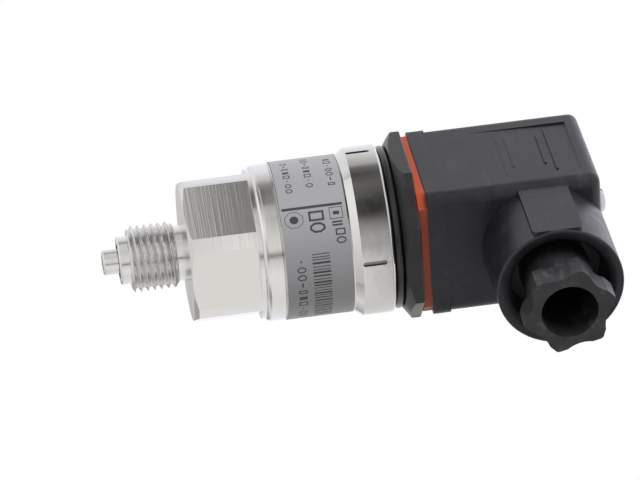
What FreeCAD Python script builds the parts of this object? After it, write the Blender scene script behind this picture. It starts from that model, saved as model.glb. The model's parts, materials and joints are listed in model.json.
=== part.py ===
import FreeCAD, Part
import math
import os
from types import SimpleNamespace
from FreeCAD import Placement, Rotation, Vector
import Sketcher

# Pressure transmitter with a four-pole cable plug (square plug form, 18 mm contact spacing).
# +Z runs along the instrument from the pressure port to the plug, and the cable leaves towards -Y.
# The origin is the centre of the process thread's inner end. Lengths in millimetres, angles in degrees.

SIZES = {
    # pressure port, turned from hexagon-milled bar; thread G 1/4 with a centring pin
    "inlet_radius": 1.5,
    "pin_radius": 2.5,
    "pin_length": 3.1,
    "spigot_radius": 4.75,
    "spigot_length": 2.1,
    "thread_radius": 6.5785,
    "thread_length": 8.6,
    "thread_bevel": 0.9,
    "relief_radius": 5.45,
    "relief_length": 2.5,
    "port_bevel": 0.35,
    "bar_below_flange": 0.7,
    "bar_face_inset": 1.4,
    "bar_face_bevel": 0.8,
    "hex_flat_depth": 1.3,
    "hex_length": 13.3,
    "hex_turn": 3.4,
    "bar_land": 0.8,
    "flange_length": 3.8,
    "flange_round_height": 1.1,
    "flange_round_radius": 1.15,
    "seam_edge": 0.2,
    "collar_length": 5.0,
    "chamber_radius": 6.5,
    "chamber_depth": 1.6,
    "header_seat_depth": 7.0,
    "header_side_gap": 0.05,
    # sensor
    "header_radius": 9.9,
    "header_height": 4.4,
    "header_well_radius": 6.6,
    "header_well_depth": 0.8,
    "diaphragm_thickness": 0.15,
    "diaphragm_wave": 0.35,
    "glass_radius": 1.1,
    "lead_pin_radius": 0.4,
    "lead_pin_spread": 4.2,
    "lead_pin_stand": 1.0,
    # electronics
    "carrier_height": 2.4,
    "carrier_width": 2.2,
    "carrier_ledge": 1.0,
    "board_side_gap": 0.1,
    "board_pin_gap": 0.05,
    "board_thickness": 1.2,
    "chip_side": 4.2,
    "chip_height": 1.0,
    "capacitor_radius": 2.0,
    "capacitor_height": 3.4,
    "component_spread": 8.6,
    "chip_angle": 150.0,
    "capacitor_angle": 30.0,
    "wire_radius": 0.5,
    "wire_start_spread": 6.4,
    "wire_bend_radius": 1.1,
    # housing sleeve, drawn stainless tube
    "body_radius": 15.5,
    "sleeve_wall": 0.85,
    "sleeve_fit_gap": 0.05,
    "sleeve_tube_length": 13.6,
    "flare_length": 1.5,
    "flare_step": 1.15,
    "sleeve_cup_length": 6.4,
    "sleeve_lip_round": 0.65,
    "crimp_width": 0.95,
    "crimp_length": 4.7,
    "crimp_corner_round": 0.4,
    "crimp_depth": 0.5,
    "crimp_from_lip": 4.0,
    "crimp_turn": 6.5,
    "label_thickness": 0.08,
    "label_glue": 0.02,
    "label_margin": 0.25,
    "label_wrap": 338.0,
    # plug base, moulded
    "ring_cord_radius": 0.95,
    "ring_seat_inset": 2.45,
    "barrel_side_gap": 0.15,
    "barrel_foot_gap": 0.7,
    "barrel_wall": 1.9,
    "crimp_slot_depth": 0.95,
    "crimp_slot_gap": 0.3,
    "base_side_inset": 0.25,
    "base_corner_cut": 8.0,
    "base_cone_inset": 0.55,
    "base_cone_height": 1.6,
    "base_rim_height": 1.85,
    "base_edge_round": 0.35,
    "insert_radius": 2.5,
    "insert_length": 5.6,
    # contacts
    "blade_width": 6.3,
    "blade_thickness": 0.8,
    "blade_spread": 9.0,
    "blade_reach": 9.9,
    "blade_tip_bevel": 1.2,
    "earth_extra": 0.8,
    "tail_width": 2.6,
    "tail_length": 3.5,
    # gasket between base and plug
    "gasket_corner_cut": 2.4,
    "gasket_thickness": 1.85,
    "gasket_slot_gap": 0.1,
    # plug housing, moulded
    "plug_side_extra": 0.6,
    "plug_height": 34.15,
    "plug_corner_round": 2.3,
    "plug_end_round": 1.9,
    "plug_wall": 2.0,
    "plug_collar_height": 3.4,
    "plug_collar_stand": 0.3,
    "hub_from_end": 11.55,
    "hub_reach": 30.8,
    "hub_rim_width": 0.5,
    "hub_rim_round": 0.4,
    "hub_mouth_round": 2.6,
    "gland_bore_radius": 9.3,
    "gland_seat_reach": 13.4,
    "gland_passage_radius": 6.5,
    "pad_width": 9.7,
    "pad_end_gap": 0.6,
    "pad_corner_round": 0.9,
    "panel_length": 19.6,
    "panel_half_width": 9.5,
    "panel_depth": 0.4,
    "panel_end_gap": 2.9,
    "rib_root_depth": 0.8,
    "rib_crest_depth": 0.05,
    "rib_width": 0.4,
    "rib_outer_half": 8.2,
    "rib_inner_half": 5.6,
    "rib_outer_spread": 5.0,
    "rib_inner_spread": 3.15,
    "rib_from_panel_end": 9.8,
    # contact block inside the plug, and what it carries
    "block_clearance": 0.3,
    "block_lift": 0.4,
    "block_height": 17.4,
    "block_corner_round": 1.2,
    "block_skin": 0.7,
    "cell_end_gap": 0.3,
    "cell_side_gap": 0.5,
    "cell_lug_gap": 0.05,
    "blade_end_gap": 1.1,
    "clip_wall": 0.5,
    "clip_width": 7.4,
    "clip_bridge": 1.6,
    "clip_lift": 0.6,
    "thread_fit_gap": 0.05,
    "clip_running_gap": 0.1,
    "terminal_inset": 1.0,
    "terminal_land": 1.0,
    "terminal_shank_radius": 1.2,
    "terminal_head_radius": 2.1,
    "terminal_head_height": 1.5,
    # fixing screw M3 and its seal
    "screw_radius": 1.45,
    "screw_tip_bevel": 0.4,
    "screw_running_gap": 0.05,
    "screw_pass_gap": 0.5,
    "screw_post_radius": 3.3,
    "screw_engagement": 5.2,
    "screw_head_radius": 2.6,
    "screw_head_height": 2.0,
    "screw_crown_radius": 1.6,
    "screw_crown_height": 1.1,
    "screw_crown_round": 1.5,
    "screw_slot_width": 0.7,
    "screw_slot_depth": 0.9,
    "seal_radius": 3.0,
    "seal_thickness": 0.8,
    "seal_bore_gap": 0.1,
    # cable gland, size Pg 11
    "nut_stand": 9.5,
    "nut_head_length": 5.4,
    "nut_corner_radius": 9.15,
    "nut_turn": 12.6,
    "nut_scallop_half_width": 2.5,
    "nut_scallop_radius": 6.0,
    "nut_front_bevel": 0.2,
    "nut_neck_radius": 6.8,
    "nut_neck_length": 12.4,
    "nut_shank_length": 2.6,
    "nut_running_gap": 0.08,
    "nut_bore_radius": 5.53,
    "thrust_ring_thickness": 1.2,
    "thrust_ring_bore_radius": 5.8,
    "grommet_bore_radius": 4.2,
    "grommet_bevel": 0.8,
    "loose_fit_gap": 0.3,
}

ROUND = 360.0
OVERCUT = 1.0  # how far a cut starts outside the piece that it cuts
THREAD_BEVEL_SLOPE = 0.6  # height over radius of the cones at the thread's two ends
DIAPHRAGM_RINGS = 6  # flat and raised steps between the diaphragm's centre and its rim
SECTORS = 4  # contacts, terminals, crimps and pins stand 90 degrees apart


class Size:
    """A length or angle that keeps the spreadsheet formula it comes from."""

    def __init__(self, value, formula):
        self.value = float(value)
        self.formula = formula

    def __add__(self, other):
        other = as_size(other)
        return Size(self.value + other.value, f"({self.formula} + {other.formula})")

    def __sub__(self, other):
        other = as_size(other)
        return Size(self.value - other.value, f"({self.formula} - {other.formula})")

    def __mul__(self, other):
        other = as_size(other)
        return Size(self.value * other.value, f"({self.formula} * {other.formula})")

    def __truediv__(self, other):
        other = as_size(other)
        return Size(self.value / other.value, f"({self.formula} / {other.formula})")

    def __neg__(self):
        return Size(-self.value, f"(0 - {self.formula})")

    def __radd__(self, other):
        return as_size(other) + self

    def __rsub__(self, other):
        return as_size(other) - self

    def __rmul__(self, other):
        return as_size(other) * self


def as_size(thing):
    """A plain number as a Size; a Size as it is."""
    return thing if isinstance(thing, Size) else Size(thing, f"{float(thing):.6f}")


def polar(radius, angle):
    """The point at a radius and an angle in degrees from +X."""
    radius, angle = as_size(radius), as_size(angle)
    turn = math.radians(angle.value)
    x = Size(radius.value * math.cos(turn), f"({radius.formula} * cos({angle.formula} * 1 deg))")
    y = Size(radius.value * math.sin(turn), f"({radius.formula} * sin({angle.formula} * 1 deg))")
    return x, y


def hypotenuse(a, b):
    """The distance of the point (a, b) from the origin."""
    return Size(math.hypot(a.value, b.value), f"sqrt({a.formula} ^ 2 + {b.formula} ^ 2)")


doc = FreeCAD.newDocument("pressure_transmitter")
sheet = doc.addObject("Spreadsheet::Sheet", "Sizes")
for row, (alias, number) in enumerate(SIZES.items(), start=1):
    sheet.set(f"A{row}", alias)
    sheet.set(f"B{row}", str(number))
    sheet.setAlias(f"B{row}", alias)
doc.recompute()
dim = SimpleNamespace(**{alias: Size(number, f"Sizes.{alias}") for alias, number in SIZES.items()})

# Stations along the instrument's axis, each one from the one before it.
z_spigot_end = -(dim.thread_length + dim.spigot_length)
z_pin_end = z_spigot_end - dim.pin_length
z_shoulder = dim.relief_length
z_flats_end = z_shoulder + dim.hex_length
z_flange = z_flats_end + dim.bar_land
z_seam = z_flange + dim.flange_length
z_collar = z_seam + dim.collar_length
z_header = z_collar - dim.header_seat_depth
z_header_top = z_header + dim.diaphragm_thickness + dim.header_height
z_board = z_collar + dim.carrier_height
z_board_top = z_board + dim.board_thickness
z_flare = z_seam + dim.sleeve_tube_length
z_cup = z_flare + dim.flare_length
z_lip = z_cup + dim.sleeve_cup_length
z_cone = z_lip + dim.ring_cord_radius * 2
z_base_rim = z_cone + dim.base_cone_height
z_base_face = z_base_rim + dim.base_rim_height
z_gasket_face = z_base_face + dim.gasket_thickness
z_plug_end = z_gasket_face + dim.plug_height
z_gland = z_plug_end - dim.hub_from_end
z_insert = z_base_face - dim.insert_length
z_tail = z_insert - dim.tail_length
z_blade_tip = z_gasket_face + dim.blade_reach
z_earth_tip = z_blade_tip + dim.earth_extra
z_block = z_gasket_face + dim.block_lift
z_block_top = z_block + dim.block_height
z_bridge = z_earth_tip + dim.blade_end_gap
z_cell_top = z_bridge + dim.clip_bridge
z_seal_top = z_plug_end + dim.seal_thickness
z_barrel = z_cup + dim.barrel_foot_gap
z_crimp = z_lip - dim.crimp_from_lip

# Radii and half widths about the instrument's axis, each one from what it fits.
bar_radius = dim.body_radius - dim.bar_below_flange
hex_apothem = bar_radius - dim.hex_flat_depth
collar_radius = dim.body_radius - dim.sleeve_wall - dim.sleeve_fit_gap
header_recess_radius = dim.header_radius + dim.header_side_gap
carrier_bore_radius = collar_radius - dim.carrier_width
flare_radius = dim.body_radius + dim.flare_step
cup_inner_radius = flare_radius - dim.sleeve_wall
barrel_radius = cup_inner_radius - dim.barrel_side_gap
ring_seat_radius = flare_radius - dim.ring_seat_inset
base_half = flare_radius - dim.base_side_inset
base_cone_radius = flare_radius - dim.base_cone_inset
base_corner_radius = hypotenuse(base_half, base_half - dim.base_corner_cut)
clip_slot_half = dim.blade_thickness / 2 + dim.clip_running_gap
clip_leaf_outer = clip_slot_half + dim.clip_wall
terminal_spread = dim.blade_spread - dim.terminal_inset
terminal_hole_radius = dim.terminal_shank_radius + dim.thread_fit_gap
lug_inner = terminal_spread - terminal_hole_radius - dim.terminal_land
cell_outer = dim.blade_spread + clip_leaf_outer + dim.cell_end_gap
block_half_x = cell_outer + dim.block_skin
plug_hollow_half_x = block_half_x + dim.block_clearance
plug_half_x = plug_hollow_half_x + dim.plug_wall
plug_half_y = plug_half_x + dim.plug_side_extra

# The cable gland: radii about its own axis, and reaches from the instrument's axis.
hub_mouth_radius = dim.gland_bore_radius + dim.hub_mouth_round
hub_radius = hub_mouth_radius + dim.hub_rim_width
loose_radius = dim.gland_bore_radius - dim.loose_fit_gap
nut_reach = dim.hub_reach + dim.nut_stand
nut_back = nut_reach - dim.nut_head_length
nut_shank = nut_back - dim.nut_neck_length
nut_end = nut_shank - dim.nut_shank_length
ring_end = nut_end - dim.thrust_ring_thickness


def bind(thing, path, value):
    """Tie a property to the formula of its size."""
    thing.setExpression(path, as_size(value).formula)


def new_body(name, turn=0.0):
    """An empty body whose Label is the sub-part's name, turned about the instrument's axis."""
    body = doc.addObject("PartDesign::Body", name)
    body.Label = name
    body.AllowCompound = True
    body.Placement = Placement(Vector(0, 0, 0), Rotation(Vector(0, 0, 1), as_size(turn).value))
    bind(body, "Placement.Rotation.Angle", turn)
    return body


def origin_part(body, role):
    """The plane or axis of a body's own origin, found by its role."""
    return next(part for part in body.Origin.OriginFeatures if part.Role == role)


def new_sketch(body, role, offset=0.0):
    """A sketch on one of the body's origin planes, moved along the plane's normal."""
    sketch = body.newObject("Sketcher::SketchObject", body.Name + "_sketch")
    sketch.AttachmentSupport = (origin_part(body, role), [""])
    sketch.MapMode = "FlatFace"
    bind(sketch, "AttachmentOffset.Base.z", offset)
    return sketch


def turned_sketch(body, offset, turn):
    """A sketch that faces outwards at a distance from the body's Z axis, turned about it from -Y."""
    sketch = new_sketch(body, "XZ_Plane")
    ahead, aside = polar(offset, turn)
    sketch.AttachmentOffset = Placement(Vector(0, 0, 0), Rotation(Vector(0, 1, 0), turn.value))
    bind(sketch, "AttachmentOffset.Rotation.Angle", turn)
    bind(sketch, "AttachmentOffset.Base.x", aside)
    bind(sketch, "AttachmentOffset.Base.z", ahead)
    return sketch


def arc_edge(start, end, radius):
    """The arc between two points; a positive radius turns left on the way, a negative one right."""
    chord = end - start
    sagitta = abs(radius) - math.sqrt(radius * radius - chord.Length ** 2 / 4)
    outward = Vector(chord.y, -chord.x, 0).normalize() * (sagitta if radius > 0 else -sagitta)
    return Part.Arc(start, (start + end) / 2 + outward, end)


def draw(sketch, path, closed=True):
    """Join (x, y) points; a third number is the radius of the arc that leads to the point."""
    path = [tuple(as_size(number) for number in point) for point in path]
    spots = [Vector(point[0].value, point[1].value, 0) for point in path]
    legs = list(range(0 if closed else 1, len(path)))
    edges = []
    for leg in legs:
        start, end = spots[leg - 1], spots[leg]
        edges.append(arc_edge(start, end, path[leg][2].value) if len(path[leg]) == 3
                     else Part.LineSegment(start, end))
    first = sketch.GeometryCount
    sketch.addGeometry(edges, False)

    def end_name(leg, at_start):
        """A clockwise arc is stored the other way round, so its two ends swap names."""
        turned = len(path[leg]) == 3 and path[leg][2].value < 0
        return 1 if at_start != turned else 2

    def place(edge, end, point):
        for kind, datum in (("DistanceX", point[0]), ("DistanceY", point[1])):
            ties.append((Sketcher.Constraint(kind, -1, 1, edge, end, datum.value), datum))

    links, ties = [], []
    if not closed:
        place(first, end_name(1, True), path[0])
    for index, leg in enumerate(legs):
        edge = first + index
        place(edge, end_name(leg, False), path[leg])
        if closed or leg != legs[-1]:
            following = (leg + 1) % len(path)
            links.append(Sketcher.Constraint("Coincident", edge, end_name(leg, False),
                                             first + (index + 1) % len(legs), end_name(following, True)))
        if len(path[leg]) == 3:
            length = path[leg][2] if path[leg][2].value > 0 else -path[leg][2]
            ties.append((Sketcher.Constraint("Radius", edge, length.value), length))
    add_tied(sketch, links, ties)


def draw_circle(sketch, x, y, radius):
    """A circle whose centre and radius are tied to their sizes."""
    x, y, radius = as_size(x), as_size(y), as_size(radius)
    circle = sketch.addGeometry(Part.Circle(Vector(x.value, y.value, 0), Vector(0, 0, 1), radius.value), False)
    add_tied(sketch, [], [
        (Sketcher.Constraint("DistanceX", -1, 1, circle, 3, x.value), x),
        (Sketcher.Constraint("DistanceY", -1, 1, circle, 3, y.value), y),
        (Sketcher.Constraint("Radius", circle, radius.value), radius),
    ])


def add_tied(sketch, links, ties):
    """Add constraints, and tie each datum to its formula."""
    first = sketch.ConstraintCount + len(links)
    sketch.addConstraint(links + [constraint for constraint, datum in ties])
    for index, (constraint, datum) in enumerate(ties):
        sketch.setExpression(f"Constraints[{first + index}]", datum.formula)


def rectangle(low_x, low_y, high_x, high_y):
    """Path of a rectangle between two corners."""
    return [(low_x, low_y), (high_x, low_y), (high_x, high_y), (low_x, high_y)]


def rounded_rectangle(half_x, half_y, radius, lift=0.0):
    """Path of a rectangle with four equal round corners, its middle at (0, lift)."""
    inner_x, inner_y = half_x - radius, half_y - radius
    return [
        (half_x, lift - inner_y, radius), (half_x, lift + inner_y),
        (inner_x, lift + half_y, radius), (-inner_x, lift + half_y),
        (-half_x, lift + inner_y, radius), (-half_x, lift - inner_y),
        (-inner_x, lift - half_y, radius), (inner_x, lift - half_y),
    ]


def corner_from_flat(apothem):
    """A hexagon's corner radius from the distance of its flats."""
    return apothem / math.cos(math.radians(30))


def hexagon(corner_radius, turn):
    """Path of a hexagon about the origin, its first corner turned from +X."""
    return [polar(corner_radius, 60.0 * k + turn) for k in range(6)]


def cut_rectangle(half_x, half_y, cut):
    """Path of a rectangle about the origin with its four corners cut at 45 degrees."""
    inner_x, inner_y = half_x - cut, half_y - cut
    return [
        (half_x, -inner_y), (half_x, inner_y), (inner_x, half_y), (-inner_x, half_y),
        (-half_x, inner_y), (-half_x, -inner_y), (-inner_x, -half_y), (inner_x, -half_y),
    ]


def revolve(body, path, kind="Revolution", angle=ROUND):
    """Turn a path of (radius, height) points about the body's Z axis, as solid or, for a Groove, as a cut."""
    sketch = new_sketch(body, "XZ_Plane")
    draw(sketch, path)
    feature = body.newObject("PartDesign::" + kind, body.Name + "_" + kind.lower())
    feature.Profile = sketch
    feature.ReferenceAxis = (sketch, ["V_Axis"])
    bind(feature, "Angle", angle)
    return feature


def extrude(body, sketch, length, kind="Pad", backwards=False):
    """Pad a sketch along its normal, or pocket it against its normal; backwards swaps the direction."""
    feature = body.newObject("PartDesign::" + kind, body.Name + "_" + kind.lower())
    feature.Profile = sketch
    feature.Reversed = backwards
    bind(feature, "Length", length)
    return feature


def repeat(body, features, count, angle=ROUND):
    """Copy features about the body's Z axis."""
    pattern = body.newObject("PartDesign::PolarPattern", body.Name + "_pattern")
    pattern.Originals = features
    pattern.Axis = (origin_part(body, "Z_Axis"), [""])
    bind(pattern, "Angle", angle)
    pattern.Occurrences = count
    body.Tip = pattern
    return pattern


def round_edges(body, feature, wanted, radius):
    """Fillet those edges of the last feature that a test on the edge picks out."""
    doc.recompute()
    names = [f"Edge{n}" for n, edge in enumerate(feature.Shape.Edges, start=1) if wanted(edge)]
    fillet = body.newObject("PartDesign::Fillet", body.Name + "_fillet")
    fillet.Base = (feature, names)
    bind(fillet, "Radius", radius)
    return fillet


def lies_at(edge, height):
    """True for an edge that lies wholly at one height."""
    box = edge.BoundBox
    return abs(box.ZMin - height.value) < 1e-4 and abs(box.ZMax - height.value) < 1e-4


def tube(body, inner, outer, low, high):
    """A plain ring between two radii and two heights."""
    return revolve(body, [(inner, low), (outer, low), (outer, high), (inner, high)])


def on_gland_axis(body):
    """Stand a body, modelled about its own Z, on the cable gland's axis so that its +Z points to -Y."""
    body.Placement = Placement(Vector(0, 0, z_gland.value), Rotation(Vector(1, 0, 0), 90))
    bind(body, "Placement.Base.z", z_gland)
    bind(body, "Placement.Rotation.Angle", 90.0)


def make_pressure_port():
    body = new_body("pressure_port")
    bevel, edge = dim.port_bevel, dim.seam_edge
    revolve(body, [
        (dim.inlet_radius, z_pin_end),
        (dim.pin_radius - bevel, z_pin_end), (dim.pin_radius, z_pin_end + bevel),
        (dim.pin_radius, z_spigot_end),
        (dim.spigot_radius - bevel, z_spigot_end), (dim.spigot_radius, z_spigot_end + bevel),
        (dim.spigot_radius, -dim.thread_length),
        (dim.thread_radius - dim.thread_bevel, -dim.thread_length),
        (dim.thread_radius, dim.thread_bevel * THREAD_BEVEL_SLOPE - dim.thread_length),
        (dim.thread_radius, 0),
        (dim.relief_radius, (dim.thread_radius - dim.relief_radius) * THREAD_BEVEL_SLOPE),
        (dim.relief_radius, z_shoulder),
        (bar_radius - dim.bar_face_inset, z_shoulder), (bar_radius, z_shoulder + dim.bar_face_bevel),
        (bar_radius, z_flange),
        (dim.body_radius, z_flange + dim.flange_round_height, dim.flange_round_radius),
        (dim.body_radius, z_seam - edge), (dim.body_radius - edge, z_seam),
        (collar_radius, z_seam), (collar_radius, z_collar),
        (header_recess_radius, z_collar), (header_recess_radius, z_header),
        (dim.chamber_radius, z_header), (dim.chamber_radius, z_header - dim.chamber_depth),
        (dim.inlet_radius, z_header - dim.chamber_depth),
    ])
    # the six milled flats stop short of the flange and leave a round land there
    sketch = new_sketch(body, "XY_Plane", z_flats_end)
    draw_circle(sketch, 0, 0, corner_from_flat(hex_apothem) + OVERCUT)
    draw(sketch, hexagon(corner_from_flat(hex_apothem), -dim.hex_turn))
    extrude(body, sketch, dim.hex_length + OVERCUT, "Pocket")


def make_sensor():
    body = new_body("sensing_diaphragm")
    wave, thick, ring = dim.diaphragm_wave, dim.diaphragm_thickness, dim.header_well_radius / DIAPHRAGM_RINGS
    below = [(ring * step, z_header + wave * (step % 2)) for step in range(DIAPHRAGM_RINGS + 1)]
    below.append((dim.header_radius, z_header))
    above = [(radius, height + thick) for radius, height in reversed(below)]
    revolve(body, below + above)

    low, high = z_header + thick, z_header_top
    body = new_body("sensor_header")
    revolve(body, [
        (0, low + dim.header_well_depth), (dim.header_well_radius, low + dim.header_well_depth),
        (dim.header_well_radius, low), (dim.header_radius, low),
        (dim.header_radius, high), (0, high),
    ])
    sketch = new_sketch(body, "XY_Plane", high)
    for place in lead_pin_places():
        draw_circle(sketch, *place, dim.glass_radius)
    extrude(body, sketch, dim.header_height, "Pocket")

    body = new_body("glass_seals")
    seal_low = low + dim.header_well_depth
    sketch = new_sketch(body, "XY_Plane", seal_low)
    for place in lead_pin_places():
        draw_circle(sketch, *place, dim.glass_radius)
        draw_circle(sketch, *place, dim.lead_pin_radius)
    extrude(body, sketch, high - seal_low)

    body = new_body("header_pins")
    sketch = new_sketch(body, "XY_Plane", seal_low)
    for place in lead_pin_places():
        draw_circle(sketch, *place, dim.lead_pin_radius)
    extrude(body, sketch, z_board_top + dim.lead_pin_stand - seal_low)


def lead_pin_places():
    """Centres of the four feed-through pins."""
    return [polar(dim.lead_pin_spread, (k + 0.5) * ROUND / SECTORS) for k in range(SECTORS)]


def make_electronics():
    # a moulded ring on the port's collar holds the board by a ledge
    body = new_body("board_carrier")
    ledge_radius = carrier_bore_radius + dim.carrier_ledge
    revolve(body, [
        (carrier_bore_radius, z_collar), (collar_radius, z_collar), (collar_radius, z_board_top),
        (ledge_radius, z_board_top), (ledge_radius, z_board), (carrier_bore_radius, z_board),
    ])

    body = new_body("circuit_board")
    sketch = new_sketch(body, "XY_Plane", z_board)
    draw_circle(sketch, 0, 0, ledge_radius - dim.board_side_gap)
    for place in lead_pin_places():
        draw_circle(sketch, *place, dim.lead_pin_radius + dim.board_pin_gap)
    extrude(body, sketch, dim.board_thickness)

    body = new_body("board_components")
    half = dim.chip_side / 2
    sketch = new_sketch(body, "XY_Plane", z_board_top)
    places = [polar(dim.component_spread, dim.chip_angle + turn) for turn in (0, ROUND * 5 / 12)]
    for x, y in [(as_size(0), as_size(0))] + places:
        draw(sketch, rectangle(x - half, y - half, x + half, y + half))
    extrude(body, sketch, dim.chip_height)
    sketch = new_sketch(body, "XY_Plane", z_board_top)
    for turn in (0, ROUND * 7 / 12):
        draw_circle(sketch, *polar(dim.component_spread, dim.capacitor_angle + turn), dim.capacitor_radius)
    extrude(body, sketch, dim.capacitor_height)

    # each wire rises from the board, leans outwards and ends on a blade's tail
    body = new_body("lead_wires")
    start, end, bend = dim.wire_start_spread, dim.blade_spread, dim.wire_bend_radius
    middle = (z_board_top + z_tail) / 2
    route = new_sketch(body, "XZ_Plane")
    draw(route, [
        (start, z_board_top), (start, middle - bend), (start + bend, middle, -bend),
        (end - bend, middle), (end, middle + bend, bend), (end, z_tail),
    ], closed=False)
    section = new_sketch(body, "XY_Plane", z_board_top)
    draw_circle(section, start, 0, dim.wire_radius)
    wire = body.newObject("PartDesign::AdditivePipe", "lead_wires_pipe")
    wire.Profile = section
    wire.Spine = (route, [f"Edge{n}" for n in range(1, route.GeometryCount + 1)])
    repeat(body, [wire], SECTORS)


def make_housing_sleeve():
    body = new_body("housing_sleeve", -dim.crimp_turn)
    inner, lip = dim.body_radius - dim.sleeve_wall, dim.sleeve_lip_round
    revolve(body, [
        (inner, z_seam), (dim.body_radius - dim.seam_edge, z_seam), (dim.body_radius, z_seam + dim.seam_edge),
        (dim.body_radius, z_flare), (flare_radius, z_cup),
        (flare_radius, z_lip - lip), (flare_radius - lip, z_lip, lip),
        (cup_inner_radius, z_lip), (cup_inner_radius, z_cup), (inner, z_flare),
    ])
    # four narrow dents along the sleeve, pressed inwards, hold the plug base in it
    outline = crimp_outline()
    outside = new_sketch(body, "XZ_Plane", flare_radius)
    draw(outside, outline)
    dent = extrude(body, outside, dim.crimp_depth, "Pocket")
    inside = new_sketch(body, "XZ_Plane", cup_inner_radius)
    draw(inside, outline)
    tongue = extrude(body, inside, dim.crimp_depth, "Pad", backwards=True)
    repeat(body, [dent, tongue], SECTORS)


def crimp_outline(gap=0.0):
    """Outline of one of the sleeve's dents, or of the slot behind it, a gap larger all round."""
    half_width, half_length = dim.crimp_width / 2 + gap, dim.crimp_length / 2 + gap
    return rounded_rectangle(half_width, half_length, dim.crimp_corner_round, z_crimp)


def make_type_label():
    body = new_body("type_label", 45.0)
    low, high = z_seam + dim.label_margin, z_flare - dim.label_margin
    inner = dim.body_radius + dim.label_glue
    outer = inner + dim.label_thickness
    revolve(body, [(inner, low), (outer, low), (outer, high), (inner, high)], angle=dim.label_wrap)


def make_plug_base():
    body = new_body("plug_base")
    inner = barrel_radius - dim.barrel_wall
    # the cone runs on past the corners, where the octagon cuts it off
    cone_slope = dim.base_cone_height / (base_corner_radius - base_cone_radius)
    revolve(body, [
        (0, z_insert), (inner, z_insert), (inner, z_barrel), (barrel_radius, z_barrel),
        (barrel_radius, z_lip), (ring_seat_radius, z_lip),
        (ring_seat_radius, z_cone), (base_cone_radius, z_cone),
        (base_corner_radius + OVERCUT, z_base_rim + cone_slope * OVERCUT),
        (base_corner_radius + OVERCUT, z_base_face), (0, z_base_face),
    ])
    outside = new_sketch(body, "XY_Plane", z_base_face)
    draw_circle(outside, 0, 0, base_corner_radius + OVERCUT * 2)
    draw(outside, cut_rectangle(base_half, base_half, dim.base_corner_cut))
    sides = extrude(body, outside, z_base_face - z_cone, "Pocket")
    round_edges(body, sides, lambda edge: lies_at(edge, z_base_face), dim.base_edge_round)
    holes = new_sketch(body, "XY_Plane", z_base_face)
    draw_circle(holes, 0, 0, dim.insert_radius)
    blade_slots(holes, 0.0)
    extrude(body, holes, z_base_face - z_insert, "Pocket")
    # a slot in the barrel behind each dent of the sleeve
    slot = turned_sketch(body, barrel_radius, -dim.crimp_turn)
    draw(slot, crimp_outline(dim.crimp_slot_gap))
    repeat(body, [extrude(body, slot, dim.crimp_slot_depth, "Pocket")], SECTORS)


def blade_slots(sketch, gap):
    """Openings for the four flat contacts, a gap larger than the blades all round."""
    half_long, half_short = dim.blade_width / 2 + gap, dim.blade_thickness / 2 + gap
    for side in (1.0, -1.0):
        across = dim.blade_spread * side
        draw(sketch, rectangle(across - half_short, -half_long, across + half_short, half_long))
        draw(sketch, rectangle(-half_long, across - half_short, half_long, across + half_short))


def blade(body, reach):
    """One flat contact at the plug's -Y side: narrow solder tail, wide blade, bevelled tip."""
    half, tail, tip = dim.blade_width / 2, dim.tail_width / 2, dim.blade_tip_bevel
    sketch = new_sketch(body, "XZ_Plane", dim.blade_spread - dim.blade_thickness / 2)
    draw(sketch, [
        (-tail, z_tail), (tail, z_tail), (tail, z_insert), (half, z_insert),
        (half, z_gasket_face + reach - tip), (half - tip, z_gasket_face + reach),
        (tip - half, z_gasket_face + reach), (-half, z_gasket_face + reach - tip),
        (-half, z_insert), (-tail, z_insert),
    ])
    return extrude(body, sketch, dim.blade_thickness)


def make_contacts():
    body = new_body("contact_blades", -90.0)
    repeat(body, [blade(body, dim.blade_reach)], 3, 180.0)
    blade(new_body("earth_blade", 180.0), dim.blade_reach + dim.earth_extra)

    body = new_body("screw_insert")
    tube(body, dim.screw_radius + dim.screw_running_gap, dim.insert_radius, z_insert, z_base_face)


def make_seals():
    body = new_body("sleeve_o_ring")
    sketch = new_sketch(body, "XZ_Plane")
    draw_circle(sketch, ring_seat_radius + dim.ring_cord_radius, z_cone - dim.ring_cord_radius,
                dim.ring_cord_radius)
    ring = body.newObject("PartDesign::Revolution", "sleeve_o_ring_revolution")
    ring.Profile = sketch
    ring.ReferenceAxis = (sketch, ["V_Axis"])

    body = new_body("base_gasket")
    sketch = new_sketch(body, "XY_Plane", z_base_face)
    draw(sketch, cut_rectangle(plug_half_x, plug_half_y, dim.gasket_corner_cut))
    draw_circle(sketch, 0, 0, dim.insert_radius)
    blade_slots(sketch, dim.gasket_slot_gap)
    extrude(body, sketch, dim.gasket_thickness)


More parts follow.
